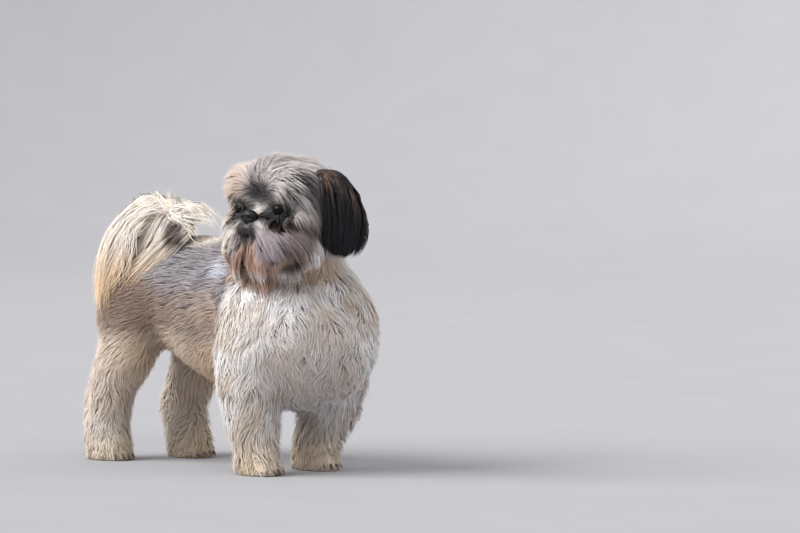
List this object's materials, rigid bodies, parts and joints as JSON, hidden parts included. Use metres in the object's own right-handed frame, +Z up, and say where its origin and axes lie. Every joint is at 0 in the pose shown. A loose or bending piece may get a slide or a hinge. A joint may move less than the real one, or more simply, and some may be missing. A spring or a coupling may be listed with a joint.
{
  "type": "shih tzu",
  "caption": "Small dog with a soft coat in a short clip, standing, its head turned to its right and its plumed tail carried over its back: a still, life-size model.",
  "frame": {"origin": "middle of the footprint of the whole model, on the floor under its feet", "axes": "-Y is where the body faces, +X is the dog's left side, +Z up; the head is turned to -X"},
  "size_m": [0.2124, 0.4324, 0.385],
  "materials": {
    "coat_white": "long soft coat, matte",
    "coat_sable": "short soft coat, matte",
    "coat_silver": "soft coat, matte",
    "coat_rust": "beard, matte",
    "coat_black": "silky coat",
    "coat_cream": "long silky plume",
    "nose_leather": "moist, slightly glossy",
    "eye": "wet gloss"
  },
  "bodies": {
    "root": {"ear_left": "coat_black", "ear_right": "coat_black", "eye_left": "eye", "eye_right": "eye", "foreleg_left": "coat_white", "foreleg_right": "coat_white", "forepaw_left": "coat_white", "forepaw_right": "coat_white", "head": "coat_silver", "hindleg_left": "coat_white", "hindleg_right": "coat_white", "hindpaw_left": "coat_white", "hindpaw_right": "coat_white", "jaw": "coat_rust", "neck": "coat_white", "nose": "nose_leather", "tail": "coat_cream", "trunk": "coat_sable"}
  },
  "joints": []
}
